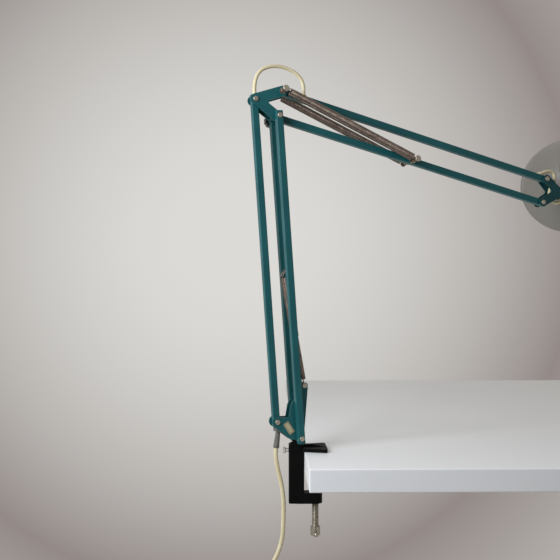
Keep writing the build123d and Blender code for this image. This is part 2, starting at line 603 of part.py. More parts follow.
# Head fork: two plates and the block that the head swivels in
fork = link(TOP_FORK, FORK_JOIN, LOBE_R, FORK_JOIN_R) + link(LOW_FORK, FORK_JOIN, LOBE_R, FORK_JOIN_R)
fork += link(FORK_JOIN, FORK_TIP, FORK_JOIN_R, FORK_TIP_R)
notch = ((TOP_FORK[0] + LOW_FORK[0] + FORK_JOIN[0]) / 3, FORK_JOIN[1])
shoulder = (FORK_JOIN[0] + LOBE_R, FORK_JOIN[1] + FORK_JOIN_R)
for corner in (notch, shoulder):
    fork = fillet(fork.vertices().sort_by_distance((*corner, 0))[0], NOTCH_R)
fork_screw_places = [(FORK_TIP[0] + BLOCK * 0.3, FORK_TIP[1] + BLOCK * 0.22),
                     (FORK_TIP[0] - BLOCK * 0.3, FORK_TIP[1] - BLOCK * 0.22)]
for pivot in (TOP_FORK, LOW_FORK):
    fork -= disc(pivot, STUD_R + FIT)
for place in fork_screw_places:
    fork -= disc(place, TILT_BOLT_R + FIT)
add("fork_plates", ARM_PLACE, *pair(plate(fork, HALF_GAP, PLATE)))
fork_studs, fork_washers = [], []
for pivot in (TOP_FORK, LOW_FORK):
    fork_studs += pair(stud(pivot, PLATE_OUT, TUBE / 2 - TUBE_WALL))
    fork_washers += pair(washer(pivot, STUD_R + FIT, TUBE / 2 + FIT, HALF_GAP))
add("fork_studs", ARM_PLACE, *fork_studs)
add("fork_washers", ARM_PLACE, *fork_washers)
block = Pos(FORK_TIP[0], 0, FORK_TIP[1]) * (Box(BLOCK, 2 * HALF_GAP, BLOCK)
                                            - Cylinder(STUD_SWIVEL_R + FIT, BLOCK + 2))
screw_in = HALF_GAP - 3 * FIT - TILT_BOLT_R
fork_screws = []
for place in fork_screw_places:
    block -= rod(place, TILT_BOLT_R + FIT, screw_in, HALF_GAP + 1)
    block -= rod(place, TILT_BOLT_R + FIT, -HALF_GAP - 1, -screw_in)
    fork_screws += pair(rod(place, TILT_BOLT_R, screw_in + FIT, PLATE_OUT)
                        + dome(place, STUD_HEAD_R - 0.6, PLATE_OUT, STUD_HEAD * 0.7))
inlet = (FORK_TIP[0] - BLOCK / 2, FORK_TIP[1] - BLOCK / 4)
add("fork_block", ARM_PLACE, block)
add("fork_screws", ARM_PLACE, *fork_screws)

# Head swivel: hollow stud through the block, knuckle above it, nut below it
stud_low = -TILT_UP - BLOCK - 2 * RUN_GAP - NUT_THICK
stud_bore = Pos(0, 0, (stud_low - TILT_UP) / 2) * Cylinder(CABLE_R * 0.8, BLOCK * 3)
stud_body = Pos(0, 0, (stud_low - TILT_UP) / 2) * Cylinder(STUD_SWIVEL_R, -TILT_UP - stud_low)
nut = Pos(0, 0, stud_low + NUT_THICK / 2) * extrude(RegularPolygon(NUT_R, 6), NUT_THICK / 2, both=True)
add("swivel_stud", KNUCKLE_PLACE, stud_body + nut - stud_bore)
knuckle = Pos(0, 0, -TILT_UP + BASE_THICK / 2) * Cylinder(BASE_R, BASE_THICK)
ear_high = TILT_UP - BASE_THICK
ear_outline = disc((0, 0), EAR_R) + Pos(0, -ear_high / 2) * Rectangle(2 * EAR_R, ear_high)
ear_in = LUG / 2 + RUN_GAP
for side in (ear_in, -ear_in - EAR):
    knuckle += plate(ear_outline, side, EAR)
knuckle -= rod((0, 0), TILT_BOLT_R + FIT, -BASE_R * 2, BASE_R * 2)
add("tilt_knuckle", KNUCKLE_PLACE, knuckle)
ear_out = ear_in + EAR
tilt_bolt = rod((0, 0), TILT_BOLT_R, -ear_out, ear_out + WING_THICK * 2)
tilt_bolt += mirrored(dome((0, 0), STUD_HEAD_R, ear_out, STUD_HEAD))
add("tilt_bolt", KNUCKLE_PLACE, tilt_bolt)
wing = rod((0, 0), STUD_HEAD_R, ear_out + RUN_GAP, ear_out + WING_THICK * 2)
for side in (-1, 1):
    blade = Pos(side * WING_LONG / 3, ear_out + WING_THICK * 2, 0) * Rot(0, 0, side * 30)
    wing += blade * Box(WING_LONG / 2, WING_THICK, STUD_HEAD_R * 2)
add("wing_nut", KNUCKLE_PLACE, wing - rod((0, 0), TILT_BOLT_R + FIT, 0, WING_LONG))


# Lamp holder cup, shade and bulb turn about the beam's axis, above the tilt bolt
def turned(outline):
    """Solid turned about the beam's axis from an outline in (along, out)."""
    plane = Plane(origin=(0, 0, AXIS_UP), x_dir=(1, 0, 0), z_dir=(0, -1, 0))
    return revolve(plane * outline, Axis((0, 0, AXIS_UP), (1, 0, 0)))


def ring(along_low, along_high, inner, outer):
    middle, size = (along_low + along_high) / 2, (along_high - along_low, outer - inner)
    return turned(Pos(middle, (inner + outer) / 2) * Rectangle(*size))


cup = ring(-CUP_BACK, CUP_FRONT, CUP_R - CUP_WALL, CUP_R)
cup += ring(-CUP_BACK, -CUP_BACK + CUP_WALL, SWITCH_R + FIT, CUP_R)
lug = link((0, 0), (0, AXIS_UP - CUP_R + CUP_WALL / 2), EAR_R - 0.5, EAR_R - 0.5)
lug = plate(lug, -LUG / 2, LUG) - rod((0, 0), TILT_BOLT_R + FIT, -LUG, LUG)
lug -= ring(-CUP_BACK, CUP_FRONT, 0, CUP_R - CUP_WALL)
add("holder_cup", HEAD_PLACE, cup + lug)

mouth_in, mouth_out = (CUP_FRONT, CUP_R + FIT + SHADE_WALL), (SHADE_RIM, SHADE_R)
slope = math.atan2(mouth_out[1] - mouth_in[1], mouth_out[0] - mouth_in[0])
outward = (-math.sin(slope), math.cos(slope))
middle = step(((mouth_in[0] + mouth_out[0]) / 2, (mouth_in[1] + mouth_out[1]) / 2), outward, SHADE_BULGE)
bell = make_face([
    ThreePointArc(mouth_in, middle, mouth_out),
    Line(mouth_out, (mouth_out[0], mouth_out[1] - SHADE_WALL)),
    ThreePointArc((mouth_out[0], mouth_out[1] - SHADE_WALL), step(middle, outward, -SHADE_WALL),
                  (mouth_in[0], mouth_in[1] - SHADE_WALL)),
    Line((mouth_in[0], mouth_in[1] - SHADE_WALL), mouth_in)])
shade = turned(bell) + ring(CUP_FRONT - COLLAR, CUP_FRONT, CUP_R + FIT, CUP_R + FIT + SHADE_WALL)
shade += turned(Pos(*mouth_out) * Circle(BEAD_R))
add("shade", HEAD_PLACE, shade)

holder = ring(-HOLDER_BACK, HOLDER_FRONT, 0, HOLDER_R)
holder += ring(-HOLDER_BACK, -HOLDER_BACK + HOLDER_FLANGE, 0, CUP_R - CUP_WALL - FIT)
cap_start = CUP_FRONT - BULB_CAP
add("lamp_holder", HEAD_PLACE, holder - ring(cap_start - 1, HOLDER_FRONT + 1, 0, BULB_CAP_R + FIT))
add("bulb_cap", HEAD_PLACE, ring(cap_start, CUP_FRONT, 0, BULB_CAP_R))


def bulb_outline(inset):
    """Pear-shaped half outline of the bulb, drawn in by inset."""
    start, throat = CUP_FRONT, BULB_CAP_R - 1 - inset
    ball, tip = start + BULB_LONG - BULB_R, start + BULB_LONG - inset
    round_r = BULB_R - inset
    side = round_r * math.sqrt(0.5)
    return make_face([
        Line((start, 0), (start, throat)),
        Spline((start, throat), (ball - BULB_R, (throat + BULB_R) / 2), (ball, round_r),
               tangents=[(1, 0.1), (1, 0)]),
        ThreePointArc((ball, round_r), (ball + side, side), (tip, 0)),
        Line((tip, 0), (start, 0))])


add("bulb_glass", HEAD_PLACE, turned(bulb_outline(0)) - turned(bulb_outline(BULB_GLASS)))
switch_back = -CUP_BACK - SWITCH_OUT
button = ring(switch_back, -HOLDER_BACK - SWITCH_TRAVEL - RUN_GAP, 0, SWITCH_R)
add("switch_button", HEAD_PLACE, fillet(button.edges().sort_by(Axis.X)[0], SWITCH_R / 3))

# Cable inside the arms, lying against a wall of its tube, and its free loops at the elbow and the head
wall_side = TUBE / 2 - TUBE_WALL - CABLE_R - RUN_GAP
LOWER_SIDE = (LOWER_DIR[1], -LOWER_DIR[0])
cable_low = step(step(REAR_FOOT, LOWER_DIR, -TUBE_END), LOWER_SIDE, wall_side)
add("lower_cable", ARM_PLACE, beam(cable_low, LOWER_DIR, 0, Circle(CABLE_R), LOWER_ARM + 2 * TUBE_END))
cable_start = step(elbow_hole, UPPER_UP, -TUBE / 2 - wall_side)
cable_long = UPPER_ARM - ELBOW_HOLE_OUT - HEAD_HOLE_BACK - TUBE
add("upper_cable", ARM_PLACE, beam(cable_start, UPPER_DIR, 0, Circle(CABLE_R), cable_long))
leave = step(step(REAR_ELBOW, LOWER_DIR, TUBE_END), LOWER_SIDE, wall_side)
elbow_loop = [(*leave, 90 + LOWER_LEAN), (*elbow_hole, -90 - UPPER_DROP)]
add("elbow_cable", ARM_PLACE, loop_tube("elbow_cable", elbow_loop, CABLE_R))
head_loop = [(*head_hole, exit_heading), (TOP_FORK[0] + 5, TOP_FORK[1] + 12.4, 0),
             (TOP_FORK[0] + 16.4, TOP_FORK[1] + 0.5, -90), (TOP_FORK[0] + 9.7, FORK_JOIN[1], -97),
             (TOP_FORK[0] + 18.4, FORK_JOIN[1] - 14.8, -17), (*inlet, 0)]
add("head_cable", ARM_PLACE, loop_tube("head_cable", head_loop, CABLE_R))

# Mains cord: strain relief held by a clip between the cheeks, free drop, tied coil and plug
sleeve_dir = (-math.sin(math.radians(SLEEVE_LEAN)), -math.cos(math.radians(SLEEVE_LEAN)))
sleeve_top = (REAR_FOOT[0] + SLEEVE_R, REAR_FOOT[1] - SLEEVE_DROP)
sleeve_end = step(sleeve_top, sleeve_dir, SLEEVE_LONG)
add("cord_sleeve", ARM_PLACE, beam(sleeve_top, sleeve_dir, 0, Circle(SLEEVE_R), SLEEVE_LONG))
clip = beam(step(sleeve_top, sleeve_dir, RUN_GAP), sleeve_dir, 0,
            RectangleRounded(2 * HALF_GAP, CLIP_LONG, 1) - Circle(SLEEVE_R), CLIP_HIGH)
add("cord_clip", ARM_PLACE, clip)
coil_left = (COIL_CENTRE[0] - COIL_R, COIL_CENTRE[1])
coil_top = (coil_left[0], coil_left[1] + 2 * CORD_R)
half_step = COIL_STEP / 2
lead = step(sleeve_end, sleeve_dir, 5 * CORD_R)
drop = [(sleeve_end[0], 0, sleeve_end[1]), (lead[0], 0, lead[1]), (-28.5, 0, -41.5), (-20.5, 0, -71),
        (-20.0, 0, -101), (-20.6, 0, -125), (-30.8, 0.8, -153.6), (-50.9, 2.2, -176.4),
        (coil_top[0], half_step, -204.8), (coil_top[0], half_step, coil_top[1])]
add("cord_drop", ARM_PLACE, cord_tube("cord_drop", drop, CORD_R))

radii = [COIL_R - half_step * k for k in range(COIL_HALF_TURNS)]
radii += [radii[-1] - half_step] + [radii[-1] + half_step * k for k in range(COIL_HALF_TURNS - 1)]
down, up = Vector(0, 0, -1), Vector(0, 0, 1)
here = Vector(coil_left[0], half_step, coil_left[1])
coil_edges = [Edge.make_line(here + up * 2 * CORD_R, here)]
for turn, radius in enumerate(radii):
    sign = 1 if turn % 2 == 0 else -1
    t0, t1 = (down, up) if sign > 0 else (up, down)
    there = here + Vector(2 * radius * sign, 0, 0)
    if turn == COIL_HALF_TURNS:
        there -= Vector(0, COIL_STEP, 0)
        crown = (here + there) / 2 + t0 * radius
        across = unit(Vector(sign, -COIL_STEP / (2 * radius), 0))
        coil_edges += biarc(here, t0, crown, across) + biarc(crown, across, there, t1)
    else:
        coil_edges += biarc(here, t0, there, t1)
    here = there
tail_end = here + down * TAIL
coil_edges.append(Edge.make_line(here, tail_end))
self_gap("cord_coil", coil_edges, CORD_R)
add("cord_coil", ARM_PLACE, wound(coil_edges, CORD_R))
tie_low = COIL_CENTRE[1] + radii[COIL_HALF_TURNS] - CORD_R - TIE_SLACK
tie_high = COIL_CENTRE[1] + radii[-1] + CORD_R + TIE_SLACK
tie_wide = 2 * (CORD_R + half_step + TIE_SLACK)
tie = Box(TIE_WIDE, tie_wide + 2 * TIE_THICK, tie_high - tie_low + 2 * TIE_THICK) \
    - Box(TIE_WIDE + 2, tie_wide, tie_high - tie_low)
add("cord_tie", ARM_PLACE, Pos(COIL_CENTRE[0] + half_step, 0, (tie_low + tie_high) / 2) * tie)
plug = Pos(*(tail_end + down * (PLUG_LONG / 2))) * Box(PLUG_WIDE, PLUG_THICK, PLUG_LONG)
plug = fillet(plug.edges().filter_by(Axis.Z), PLUG_THICK * 0.45)
add("plug_body", ARM_PLACE, chamfer(plug.edges().group_by(Axis.Z)[-1], PLUG_THICK * 0.2))
pins = []
for side in (-1, 1):
    foot = tail_end + down * (PLUG_LONG + PLUG_PIN / 2) + Vector(side * PLUG_PIN_SPACING / 2, 0, 0)
    pins.append(Pos(*foot) * Cylinder(PLUG_PIN_R, PLUG_PIN))
add("plug_pins", ARM_PLACE, *pins)

os.makedirs("parts", exist_ok=True)
for name, solids in nodes.items():
    shape = solids[0] if len(solids) == 1 else Compound(children=solids)
    export_step(shape, f"parts/{name}.step")
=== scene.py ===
# Architect desk lamp: the finish of every piece, in the order in which the lamp is put together.
import json
import math

import bmesh
import bpy
from mathutils import Matrix, Vector


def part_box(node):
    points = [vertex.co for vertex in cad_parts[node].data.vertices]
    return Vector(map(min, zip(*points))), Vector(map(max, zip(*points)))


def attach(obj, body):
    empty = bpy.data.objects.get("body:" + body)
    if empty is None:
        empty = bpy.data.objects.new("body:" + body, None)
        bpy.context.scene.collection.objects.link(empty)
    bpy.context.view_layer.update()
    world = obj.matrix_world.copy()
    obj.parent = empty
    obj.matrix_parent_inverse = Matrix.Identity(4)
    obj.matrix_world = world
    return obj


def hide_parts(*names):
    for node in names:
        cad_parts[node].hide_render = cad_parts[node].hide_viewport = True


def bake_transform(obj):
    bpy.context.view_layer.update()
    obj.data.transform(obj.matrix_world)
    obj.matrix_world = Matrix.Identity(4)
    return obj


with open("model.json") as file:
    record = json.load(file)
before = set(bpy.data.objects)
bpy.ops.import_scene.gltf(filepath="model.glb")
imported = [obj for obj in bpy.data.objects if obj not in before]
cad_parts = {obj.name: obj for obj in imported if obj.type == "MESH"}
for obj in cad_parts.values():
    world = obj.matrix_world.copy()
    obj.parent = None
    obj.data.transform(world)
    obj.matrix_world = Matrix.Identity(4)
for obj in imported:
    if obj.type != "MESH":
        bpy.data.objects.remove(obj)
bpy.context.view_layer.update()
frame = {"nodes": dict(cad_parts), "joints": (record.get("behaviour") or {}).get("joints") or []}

nodes = frame["nodes"]
scene = bpy.context.scene
scene.view_settings.view_transform = "Standard"

# Table top.
# The clamp grips the left edge of a white laminated board, which is the pale floor of the scene.
# The board is chipboard, 30 mm thick, pressed with a smooth satin laminate and with eased edges.
MM = 0.001
TABLE_LOW = Vector((-15.9, -140, -29.95)) * MM
TABLE_HIGH = Vector((800, 1055, -0.05)) * MM
TABLE_EDGE = 1.5 * MM
NOISE_LOW = 0.3
NOISE_HIGH = 0.7


def linear(code):
    """Linear colour of an sRGB hex code."""
    channels = [int(code[i:i + 2], 16) / 255 for i in (1, 3, 5)]
    return (*[c / 12.92 if c <= 0.04045 else ((c + 0.055) / 1.055) ** 2.4 for c in channels], 1.0)


def add_node(tree, kind, links=None, values=None, **settings):
    """Adds one shader node, with its own settings, its socket values and what feeds its sockets."""
    node = tree.nodes.new("ShaderNode" + kind)
    for name, value in settings.items():
        setattr(node, name, value)
    for socket, value in (values or {}).items():
        node.inputs[socket].default_value = value
    for socket, (source, output) in (links or {}).items():
        tree.links.new(source.outputs[output], node.inputs[socket])
    return node


def uneven(name, colours, patch, gloss, grain, relief, **shader):
    """Material whose colour and gloss drift in patches, over a fine relief.
    colours are two hex codes and gloss two roughnesses; patch, grain and relief are in millimetres."""
    material = bpy.data.materials.new(name)
    material.use_nodes = True
    tree = material.node_tree
    surface = tree.nodes["Principled BSDF"]
    for socket, value in shader.items():
        surface.inputs[socket.replace("_", " ")].default_value = value
    place = add_node(tree, "TexCoord")
    drift = add_node(tree, "TexNoise", {"Vector": (place, "Object")},
                     {"Scale": 1 / (patch * MM), "Detail": 4.0})
    spread = add_node(tree, "MapRange", {"Value": (drift, 0)},
                      {"From Min": NOISE_LOW, "From Max": NOISE_HIGH})
    tint = add_node(tree, "Mix", {0: (spread, 0)}, {6: linear(colours[0]), 7: linear(colours[1])},
                    data_type="RGBA", label="tint")
    rough = add_node(tree, "MapRange", {"Value": (drift, 0)},
                     {"From Min": NOISE_LOW, "From Max": NOISE_HIGH, "To Min": gloss[0], "To Max": gloss[1]})
    fine = add_node(tree, "TexNoise", {"Vector": (place, "Object")},
                    {"Scale": 1 / (grain * MM), "Detail": 3.0})
    bump = add_node(tree, "Bump", {"Height": (fine, 0)}, {"Distance": relief * MM})
    tree.links.new(tint.outputs[2], surface.inputs["Base Color"])
    tree.links.new(rough.outputs[0], surface.inputs["Roughness"])
    tree.links.new(bump.outputs[0], surface.inputs["Normal"])
    return material


def add_object(name, mesh, material):
    """Object of one mesh in one material, put in the scene."""
    mesh.materials.append(material)
    piece = bpy.data.objects.new(name, mesh)
    scene.collection.objects.link(piece)
    return piece


def block(low, high, edge):
    """Mesh of a block between two corners, with its edges rounded."""
    shape = bmesh.new()
    bmesh.ops.create_cube(shape, size=1)
    size = Matrix.Diagonal((*(high - low), 1))
    bmesh.ops.transform(shape, matrix=Matrix.Translation((low + high) / 2) @ size, verts=shape.verts)
    bmesh.ops.bevel(shape, geom=shape.edges, offset=edge, segments=3, profile=0.5, affect="EDGES")
    for face in shape.faces:
        face.smooth = False
    mesh = bpy.data.meshes.new("block")
    shape.to_mesh(mesh)
    shape.free()
    return mesh


# White melamine laminate: an even pale satin sheet with a barely visible pressed texture.
laminate = uneven("white_melamine", ("#F4F5F5", "#F0F1F2"), 260, (0.32, 0.40), 1.6, 0.01)
add_object("table_top", block(TABLE_LOW, TABLE_HIGH, TABLE_EDGE), laminate)

# Room and daylight.
# A plain pale room: a window close by on the left, and a wall behind the lamp that is brightest in its
# middle and falls into shade towards its ends. The side in front of the lamp gives less light than it shows.
WINDOW_PLACE = Vector((-0.75, -0.75, 0.60))
WINDOW_AIM = Vector((0.05, 0.05, 0.25))
WINDOW_SIZE = 0.7
WINDOW_WATTS = 15.5
WALL_MIDDLE = Vector((-0.043, 0.996, 0.079))
WALL_BRIGHT = 0.9976
WALL_END = 0.9164
WALL_PAST = 0.8
ROOM_SIDE = Vector((0.1, -1.0, 0.0)).normalized()
DIM_FROM = -0.3
DIM_FULL = 0.7

room = bpy.data.worlds.new("pale_room")
scene.world = room
room.use_nodes = True
tree = room.node_tree
direction = add_node(tree, "TexCoord")
to_room = add_node(tree, "VectorMath", {0: (direction, "Generated")}, {1: ROOM_SIDE},
                   operation="DOT_PRODUCT")
to_wall = add_node(tree, "VectorMath", {0: (direction, "Generated")}, {1: WALL_MIDDLE},
                   operation="DOT_PRODUCT")
end = add_node(tree, "MapRange", {"Value": (to_wall, "Value")},
               {"From Min": WALL_BRIGHT, "From Max": WALL_END})
past = add_node(tree, "MapRange", {"Value": (to_wall, "Value")},
                {"From Min": WALL_END, "From Max": WALL_PAST})
dim = add_node(tree, "MapRange", {"Value": (to_room, "Value")},
               {"From Min": DIM_FROM, "From Max": DIM_FULL}, interpolation_type="SMOOTHSTEP")
seen_by = add_node(tree, "LightPath")
dim_light = add_node(tree, "Math", {0: (dim, 0), 1: (seen_by, "Is Diffuse Ray")}, operation="MULTIPLY")
wall = add_node(tree, "Mix", {0: (end, 0)}, {6: linear("#DBDAD6"), 7: linear("#938A87")}, data_type="RGBA")
walls = add_node(tree, "Mix", {0: (past, 0), 6: (wall, 2)}, {7: linear("#CFCDC9")}, data_type="RGBA")
room_light = add_node(tree, "Mix", {0: (dim_light, 0), 6: (walls, 2)}, {7: linear("#565452")},
                      data_type="RGBA")
tree.links.new(room_light.outputs[2], tree.nodes["Background"].inputs["Color"])

window = bpy.data.lights.new("window", "AREA")
window.size = WINDOW_SIZE
window.energy = WINDOW_WATTS
window.color = linear("#F4F8FF")[:3]
window_object = bpy.data.objects.new("window", window)
window_object.location = WINDOW_PLACE
window_object.rotation_euler = (WINDOW_AIM - WINDOW_PLACE).to_track_quat("-Z", "Y").to_euler()
scene.collection.objects.link(window_object)

# Camera.
# It stands 1.2 m in front of the lamp, a little above the clamp, and looks along the table.
CAMERA_PLACE = (-0.0720, -1.1748, 0.2088)
CAMERA_PITCH = 91.69
CAMERA_YAW = -1.05
CAMERA_LENS = 52.36
CAMERA_SENSOR = 36
view = bpy.data.cameras.new("camera")
view.lens = CAMERA_LENS
view.sensor_width = CAMERA_SENSOR
camera = bpy.data.objects.new("camera", view)
camera.location = CAMERA_PLACE
camera.rotation_euler = (math.radians(CAMERA_PITCH), 0, math.radians(CAMERA_YAW))
scene.collection.objects.link(camera)
scene.camera = camera

# Clamp casting.
# A malleable iron casting: a square post, a flared upper jaw with a rib, and a threaded lower jaw.
# It is sand cast, its edges are rounded in the mould, and it is dipped in black lacquer.
CAST_EDGE = 1.0
EDGE_FLAT = 0.985
EDGE_SHARP = 0.86
CHIP_FROM = 0.5
CHIP_FULL = 0.62
WELD_REACH = 0.002
BEVEL_ANGLE = 40


def wear_edges(material, bare, width, chip):
    """Mixes a bare colour into the edges of a painted piece; width and chip size are in millimetres."""
    tree = material.node_tree
    surface = tree.nodes["Principled BSDF"]
    tint = surface.inputs["Base Color"].links[0].from_node
    place = add_node(tree, "TexCoord")
    flat = add_node(tree, "NewGeometry")
    rounded = add_node(tree, "Bevel", None, {"Radius": width * MM}, samples=6)
    alike = add_node(tree, "VectorMath", {0: (flat, "Normal"), 1: (rounded, 0)}, operation="DOT_PRODUCT")
    edge = add_node(tree, "MapRange", {"Value": (alike, "Value")},
                    {"From Min": EDGE_FLAT, "From Max": EDGE_SHARP})
    chips = add_node(tree, "TexNoise", {"Vector": (place, "Object")},
                     {"Scale": 1 / (chip * MM), "Detail": 4.0})
    patchy = add_node(tree, "MapRange", {"Value": (chips, 0)},
                      {"From Min": CHIP_FROM, "From Max": CHIP_FULL})
    worn = add_node(tree, "Math", {0: (edge, 0), 1: (patchy, 0)}, operation="MULTIPLY")
    mixed = add_node(tree, "Mix", {0: (worn, 0), 6: (tint, 2)}, {7: linear(bare)}, data_type="RGBA")
    tree.links.new(mixed.outputs[2], surface.inputs["Base Color"])
    return material


def dress(name, material, edge=0.0):
    """Gives a CAD node its finish, and rounds its edges by a radius in millimetres."""
    piece = nodes[name]
    piece.data.materials.clear()
    piece.data.materials.append(material)
    if edge:
        weld = piece.modifiers.new("weld", "WELD")
        weld.merge_threshold = WELD_REACH * MM
        bevel = piece.modifiers.new("edges", "BEVEL")
        bevel.width = edge * MM
        bevel.segments = 3
        bevel.limit_method = "ANGLE"
        bevel.angle_limit = math.radians(BEVEL_ANGLE)
        piece.modifiers.new("normals", "WEIGHTED_NORMAL")


# Black lacquered iron: a deep black half gloss over a faintly lumpy sand-cast skin, with grey rubbed edges.
black_casting = uneven("black_lacquered_iron", ("#060606", "#090908"), 14, (0.45, 0.60), 2.2, 0.16,
                       Specular_IOR_Level=0.06)
wear_edges(black_casting, "#2C2A29", 0.9, 4)
dress("clamp_body", black_casting, CAST_EDGE)

# Clamp screw, pad and tommy bar.
# A rolled steel screw of 2 mm pitch, with a turned head that a sliding bar passes through.
# Its tip turns in a cup-shaped steel pad that presses up against the table.
SCREW_PITCH = 2.0
SCREW_R = 5.0
SCREW_ROOT_R = 4.1
SCREW_HEAD_R = 7.0
SCREW_HEAD = 14.0
SCREW_TIP = 3.0
SCREW_TIP_R = SCREW_ROOT_R - 0.1
SCREW_EASE = 1.2
SCREW_SIDES = 40
ROWS_PER_PITCH = 8
FLANK_SLOPE = 2.4
CREST_FLAT = 0.1
SMOOTH_ANGLE = 38


def add_piece(name, shape, material, body=None, sharp=SMOOTH_ANGLE):
    """Object from vertices and faces, shaded smooth except at its sharp edges, riding on a body."""
    mesh = bpy.data.meshes.new(name)
    mesh.from_pydata([tuple(point) for point in shape[0]], [], shape[1])
    form = bmesh.new()
    form.from_mesh(mesh)
    bmesh.ops.remove_doubles(form, verts=form.verts, dist=0.001 * MM)
    bmesh.ops.recalc_face_normals(form, faces=form.faces)
    for face in form.faces:
        face.smooth = True
    for edge in form.edges:
        edge.smooth = edge.calc_face_angle(0) < math.radians(sharp)
    form.to_mesh(mesh)
    form.free()
    piece = add_object(name, mesh, material)
    if body:
        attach(piece, body)
    return piece


def lathe(outline, place, segments=64, ridge=None, closed=False):
    """Turns an outline of (along, out) millimetres about an axis; place takes along, across and up."""
    points, faces = [], []
    for along, out in outline:
        for k in range(segments):
            angle = 2 * math.pi * k / segments
            reach = out + (ridge(along, out, angle) if ridge else 0)
            points.append(place(along, reach * math.cos(angle), reach * math.sin(angle)))
    rings = len(outline)
    for i in range(rings if closed else rings - 1):
        j = (i + 1) % rings
        for k in range(segments):
            m = (k + 1) % segments
            faces.append((i * segments + k, i * segments + m, j * segments + m, j * segments + k))
    return points, faces


def joined(*shapes):
    """One shape from several."""
    points, faces = [], []
    for more_points, more_faces in shapes:
        faces += [tuple(i + len(points) for i in face) for face in more_faces]
        points += more_points
    return points, faces


# Zinc plated steel: a warm grey metal, cloudy where the plating has dulled.
steel = uneven("zinc_plated_steel", ("#A9A294", "#8B8478"), 5, (0.30, 0.46), 0.8, 0.02, Metallic=1.0)
screw_low, screw_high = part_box("clamp_screw")
screw_axis = (screw_low + screw_high) / 2
head_top = screw_low.z / MM + SCREW_HEAD
thread_top = screw_high.z / MM - SCREW_TIP


def on_screw(along, across, up):
    return Vector((screw_axis.x + across * MM, screw_axis.y + up * MM, along * MM))


def thread_ridge(along, out, angle):
    """Depth of the thread below its crest, a rounded V that climbs one pitch in a turn."""
    if not head_top < along < thread_top or out < SCREW_R:
        return 0.0
    phase = (along / SCREW_PITCH - angle / (2 * math.pi)) % 1
    return -(SCREW_R - SCREW_ROOT_R) * min(1.0, max(0.0, FLANK_SLOPE * abs(phase - 0.5) - CREST_FLAT))


rows = round((thread_top - head_top) / SCREW_PITCH * ROWS_PER_PITCH)
shank = [(head_top + (thread_top - head_top) * i / rows, SCREW_R) for i in range(rows + 1)]
screw_outline = [(head_top - SCREW_HEAD, 0), (head_top - SCREW_HEAD, SCREW_HEAD_R - SCREW_EASE),
                 (head_top - SCREW_HEAD + SCREW_EASE, SCREW_HEAD_R), (head_top - SCREW_EASE, SCREW_HEAD_R),
                 (head_top, SCREW_HEAD_R - SCREW_EASE), *shank, (thread_top, SCREW_TIP_R),
                 (thread_top + SCREW_TIP, SCREW_TIP_R), (thread_top + SCREW_TIP, 0)]
screw_shape = lathe(screw_outline, on_screw, SCREW_SIDES, thread_ridge)
screw = add_piece("threaded_screw", screw_shape, steel, "clamp_screw")
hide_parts("clamp_screw")
dress("tommy_bar", steel)
dress("clamp_pad", steel)

# Thumb screw.
# A turned brass screw with a straight-knurled head, nickel plated, in the side of the post.
# Its tip presses on the swivel pin and holds the arm where it is turned to.
THUMB_HEAD_R = 4.7
THUMB_HEAD = 3.6
THUMB_COLLAR_R = 2.9
THUMB_COLLAR = 4.0
THUMB_SHANK = 4.4
THUMB_R = 2.5
THUMB_EASE = 0.8
THUMB_BEVEL = 0.7
DISH = 0.5
DISH_R = 2.6
DISH_RIM_R = 3.0
KNURLS = 22
KNURL_SIDES = 88
KNURL_DEPTH = 0.35
# Nickel plated brass: a clear silvery metal with a faint yellow bloom.
nickel = uneven("nickel_plated_brass", ("#D6D5D1", "#C2C1BC"), 4, (0.36, 0.48), 0.8, 0.01, Metallic=1.0)
thumb_low, thumb_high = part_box("thumb_screw")
thumb_axis = (thumb_low + thumb_high) / 2


def on_thumb(along, across, up):
    return Vector((thumb_low.x + along * MM, thumb_axis.y + across * MM, thumb_axis.z + up * MM))


def knurl(along, out, angle):
    if out < THUMB_HEAD_R:
        return 0.0
    return -KNURL_DEPTH * (0.5 + 0.5 * math.cos(KNURLS * angle))


thumb_long = (thumb_high.x - thumb_low.x) / MM
thumb_outline = [(DISH, 0), (DISH, DISH_R), (0, DISH_RIM_R), (0, THUMB_HEAD_R - THUMB_EASE),
                 (THUMB_BEVEL, THUMB_HEAD_R), (THUMB_HEAD - THUMB_BEVEL, THUMB_HEAD_R),
                 (THUMB_HEAD, THUMB_HEAD_R - THUMB_EASE), (THUMB_HEAD, THUMB_COLLAR_R),
                 (THUMB_HEAD + THUMB_COLLAR, THUMB_COLLAR_R), (THUMB_HEAD + THUMB_SHANK, THUMB_R),
                 (thumb_long - THUMB_EASE, THUMB_R), (thumb_long, THUMB_R - THUMB_EASE), (thumb_long, 0)]
thumb_shape = lathe(thumb_outline, on_thumb, KNURL_SIDES, knurl)
thumb = add_piece("knurled_thumb_screw", thumb_shape, nickel, "thumb_screw")
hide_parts("thumb_screw")

# Swivel bracket.
# Two cheeks and a web folded from 1.5 mm sheet steel, stove enamelled in teal like the arm tubes.
# The web rides on the post's neck, held by a riveted pin, and studs carry the two lower tubes.
# Teal stove enamel: a smooth dark blue-green gloss, with small pale chips along its edges.
teal = uneven("teal_stove_enamel", ("#1F5F62", "#1A5356"), 60, (0.22, 0.32), 1.8, 0.012,
              Specular_IOR_Level=0.2)
wear_edges(teal, "#7E9494", 0.7, 3)
dress("base_bracket", teal)
dress("swivel_pin", steel)
dress("foot_studs", steel)
# Dark steel: a dark, dull metal on the washers, which puts a dark ring round each stud.
dark_steel = uneven("dark_washer_steel", ("#3A3633", "#2A2725"), 4, (0.4, 0.55), 0.8, 0.02, Metallic=1.0)
dress("foot_washers", dark_steel)
dress("lower_spring_foot_pin", steel)

